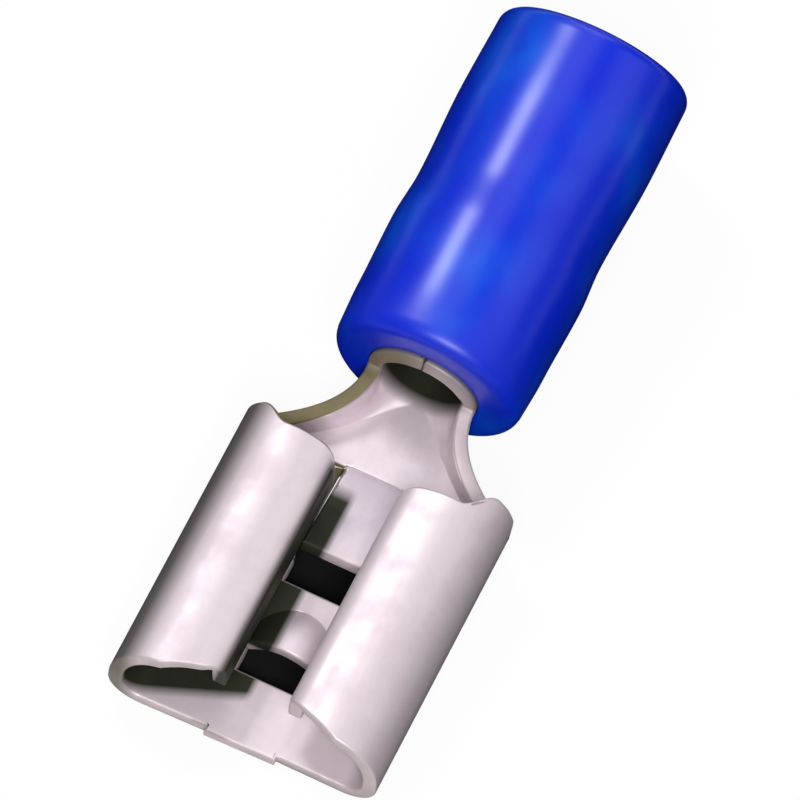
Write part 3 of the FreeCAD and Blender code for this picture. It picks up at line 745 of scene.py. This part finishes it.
def sleeve_surface(sizes):
    """Surface of revolution of the sleeve's outline about the barrel's axis.

    The rear half is sheared along X by s w^2 cos(a) r / R, where w grows from 0 at the middle to 1
    at the rear, so that the rear end is cut on a slant.
    """
    outline = sleeve_profile(sizes)
    angle = np.linspace(0, 2 * math.pi, SLEEVE_COLUMNS, endpoint=False)
    front = SLEEVE_LOW.x / MM
    share = np.clip((outline[:, 0] - front) / sizes.middle_length - 0.5, 0, 0.5) * 2
    lean = sizes.slant * outline[:, 1] / sizes.rear_radius * share**2
    x = outline[:, :1] + lean[:, None] * np.cos(angle)[None, :]
    y = outline[:, 1:] * np.sin(angle)[None, :]
    z = AXIS_HEIGHT - outline[:, 1:] * np.cos(angle)[None, :]
    points = np.stack([x, y, z], axis=-1).reshape(-1, 3)
    index = np.arange(len(points)).reshape(len(outline), SLEEVE_COLUMNS)
    down = np.roll(index, -1, axis=0)
    quads = np.stack([index, down, np.roll(down, -1, axis=1), np.roll(index, -1, axis=1)], axis=-1)
    return points, quads.reshape(-1, 4)


class TERMINAL_OT_sheet(bpy.types.Operator):
    """Build the rolled sheet: receptacle, neck and wire barrel."""

    bl_idname = "terminal.sheet"
    bl_label = "Rolled sheet"

    def execute(self, context):
        sizes = context.scene.terminal_sheet
        points, faces = sheet_surface(sizes)
        finish = tin_finish(context.scene.terminal_finish)
        points, faces, cut, inner_side = thicken(points, faces, sizes.thickness, sizes.edge_round)
        piece = new_piece("rolled_sheet", points, faces, "terminal_body", finish)
        for name, values in (("cut_edge", cut), ("inner_side", inner_side)):
            piece.data.attributes.new(name, "FLOAT", "POINT").data.foreach_set("value", values)
        return {"FINISHED"}


class TERMINAL_OT_sleeve(bpy.types.Operator):
    """Build the moulded insulating sleeve."""

    bl_idname = "terminal.sleeve"
    bl_label = "Insulating sleeve"

    def execute(self, context):
        points, faces = sleeve_surface(context.scene.terminal_sleeve)
        finish = sleeve_finish(context.scene.terminal_finish)
        new_piece("blue_sleeve", points, faces, "insulating_sleeve", finish)
        return {"FINISHED"}


# two directions in the picture's plane, near the part's X and Y, the angle from the picture's
# right to the first, and what the lens looks at, in millimetres
VIEW_LONG = Vector((0.923, -0.060, 0.380)).normalized()
VIEW_SIDE = Vector((0.0, 0.988, 0.156)).normalized()
VIEW_TURN = math.radians(62.0)
VIEW_CENTRE = Vector((10.03, 0.34, 1.5))
VIEW_DISTANCE = 300.0
VIEW_WIDTH = 20.8

# the floor falls towards the rear, from the mouth's lower edge to the sleeve's front rim
REST_FALL, REST_RUN = 1.14, 11.3
FLOOR_HALF = 600.0
FLOOR_GAP = 0.02
PAGE_GLOW = 0.93
SURROUND = 0.11

# direction from the part, distance, length near X, width and watts of each lamp
LAMPS = {
    "key_softbox": ((0.37, 0.50, 0.78), 220.0, 42.0, 46.0, 0.13),
    "rear_card": ((0.86, 0.16, 0.48), 240.0, 150.0, 150.0, 0.10),
    "right_card": ((0.385, -0.70, 0.60), 240.0, 150.0, 150.0, 0.045),
    "top_card": ((0.30, 0.06, 0.94), 240.0, 240.0, 70.0, 0.05),
    "front_light": ((-0.52, -0.20, 0.83), 220.0, 80.0, 80.0, 0.36),
}


def add_camera():
    """Long lens that sees the terminal from above the mouth, turned so that X points up to the right."""
    towards = VIEW_LONG.cross(VIEW_SIDE).normalized()
    side = towards.cross(VIEW_LONG).normalized()
    right = VIEW_LONG * math.cos(VIEW_TURN) - side * math.sin(VIEW_TURN)
    up = VIEW_LONG * math.sin(VIEW_TURN) + side * math.cos(VIEW_TURN)
    data = bpy.data.cameras.new("camera")
    camera = bpy.data.objects.new("camera", data)
    bpy.context.scene.collection.objects.link(camera)
    turn = Matrix((right, up, towards)).transposed().to_4x4()
    camera.matrix_world = Matrix.Translation((VIEW_CENTRE + towards * VIEW_DISTANCE) * MM) @ turn
    data.sensor_width = 36.0
    data.lens = data.sensor_width * VIEW_DISTANCE / VIEW_WIDTH
    data.clip_start = 0.01
    data.clip_end = 10.0
    bpy.context.scene.camera = camera


def add_area(name, direction, distance, size_x, size_y, power):
    """Soft rectangular lamp that looks at the middle of the terminal, its long side near X."""
    data = bpy.data.lights.new(name, "AREA")
    data.shape = "RECTANGLE"
    data.size = size_x * MM
    data.size_y = size_y * MM
    data.energy = power
    lamp = bpy.data.objects.new(name, data)
    bpy.context.scene.collection.objects.link(lamp)
    back = Vector(direction).normalized()
    long_side = (Vector((1, 0, 0)) - back * back.x).normalized()
    turn = Matrix((long_side, back.cross(long_side), back)).transposed().to_4x4()
    lamp.matrix_world = Matrix.Translation((VIEW_CENTRE + back * distance) * MM) @ turn


def add_world():
    """Plain soft surround."""
    world = bpy.data.worlds.new("surround")
    bpy.context.scene.world = world
    world.use_nodes = True
    background = world.node_tree.nodes["Background"]
    background.inputs["Color"].default_value = (1.0, 1.0, 1.0, 1.0)
    background.inputs["Strength"].default_value = SURROUND


def add_floor(colours):
    """Pale floor that the terminal rests on with the mouth's edge and the sleeve's front rim."""
    tilt = math.atan2(REST_FALL, REST_RUN)
    grid = np.array([[-1, -1], [1, -1], [1, 1], [-1, 1]]) * FLOOR_HALF
    z = -np.tan(tilt) * (grid[:, 0] + 0.2) - FLOOR_GAP
    points = np.column_stack([grid, z]) * MM
    mesh = bpy.data.meshes.new("floor")
    mesh.from_pydata(points.tolist(), [], [(0, 1, 2, 3)])
    floor = bpy.data.objects.new("floor", mesh)
    bpy.context.scene.collection.objects.link(floor)
    mesh.materials.append(floor_finish(colours))


def floor_finish(colours):
    """Floor that the lens sees as a white page with a faint shadow, and the terminal as a dark table.

    Under the receptacle it has no glow of its own, and the lens sees the dark table colour there as a painted
    shadow, so that the windows look into the dark.
    Mirrored rays meet the white page too, in front of the mouth and far from the terminal.
    """
    material, shader, place = new_material("pale_floor")
    tree = material.node_tree
    shader.inputs["Base Color"].default_value = (*colours.floor, 1.0)
    shader.inputs["Roughness"].default_value = 0.8
    shader.inputs["Specular IOR Level"].default_value = 0.0
    dark = tree.nodes.new("ShaderNodeBsdfDiffuse")
    dark.inputs["Color"].default_value = (*colours.table_and_shadow, 1.0)
    glow = tree.nodes.new("ShaderNodeEmission")
    glow.inputs["Strength"].default_value = 1.0
    x, y, _ = axes(place)
    # inside this patch the lens sees the dark colour, a painted shadow under the receptacle
    beside_x = x.math("ABSOLUTE", x - PATCH_MIDDLE) - PATCH_LENGTH
    beside_y = y.math("ABSOLUTE", y) - PATCH_WIDTH
    reach = x.math("MAXIMUM", beside_x, beside_y)
    outside = (reach * 4000.0).clamp()
    far = x.math("MAXIMUM", reach.above(FAR_PAGE, 50.0), (x * -5000.0).clamp())
    rays = tree.nodes.new("ShaderNodeLightPath")
    seen = Field(tree, rays.outputs["Is Camera Ray"]) + Field(tree, rays.outputs["Is Transmission Ray"])
    seen = (seen + Field(tree, rays.outputs["Is Glossy Ray"]) * far).clamp() * outside
    page = tree.nodes.new("ShaderNodeMixShader")
    page.inputs[0].default_value = PAGE_GLOW
    tree.links.new(shader.outputs[0], page.inputs[1])
    tree.links.new(glow.outputs[0], page.inputs[2])
    both = tree.nodes.new("ShaderNodeMixShader")
    link(seen, both.inputs[0])
    tree.links.new(dark.outputs[0], both.inputs[1])
    tree.links.new(page.outputs[0], both.inputs[2])
    end = tree.nodes["Material Output"]
    tree.links.new(both.outputs[0], end.inputs["Surface"])
    return material


class TERMINAL_OT_stage(bpy.types.Operator):
    """Build the floor, the lamps, the surround and the camera."""

    bl_idname = "terminal.stage"
    bl_label = "Stage"

    def execute(self, context):
        add_floor(context.scene.terminal_finish)
        add_world()
        for name, numbers in LAMPS.items():
            add_area(name, *numbers)
        add_camera()
        context.scene.view_settings.view_transform = "Standard"
        return {"FINISHED"}


class TERMINAL_PT_panel(bpy.types.Panel):
    """Lists the steps that build the terminal."""

    bl_label = "Spade terminal"
    bl_idname = "TERMINAL_PT_panel"
    bl_space_type = "VIEW_3D"
    bl_region_type = "UI"
    bl_category = "Terminal"

    def draw(self, context):
        for step in STEPS:
            self.layout.operator(step.bl_idname)


STEPS = (TERMINAL_OT_sheet, TERMINAL_OT_sleeve, TERMINAL_OT_stage)
GROUPS = (("terminal_sheet", SheetSizes), ("terminal_sleeve", SleeveSizes), ("terminal_finish", Finish))


def register():
    for name, group in GROUPS:
        bpy.utils.register_class(group)
        setattr(bpy.types.Scene, name, bpy.props.PointerProperty(type=group))
    for step in STEPS:
        bpy.utils.register_class(step)
    bpy.utils.register_class(TERMINAL_PT_panel)


def unregister():
    bpy.utils.unregister_class(TERMINAL_PT_panel)
    for step in reversed(STEPS):
        bpy.utils.unregister_class(step)
    for name, group in reversed(GROUPS):
        delattr(bpy.types.Scene, name)
        bpy.utils.unregister_class(group)


def main():
    register()
    bpy.ops.terminal.sheet()
    bpy.ops.terminal.sleeve()
    bpy.ops.terminal.stage()


if __name__ == "__main__":
    main()
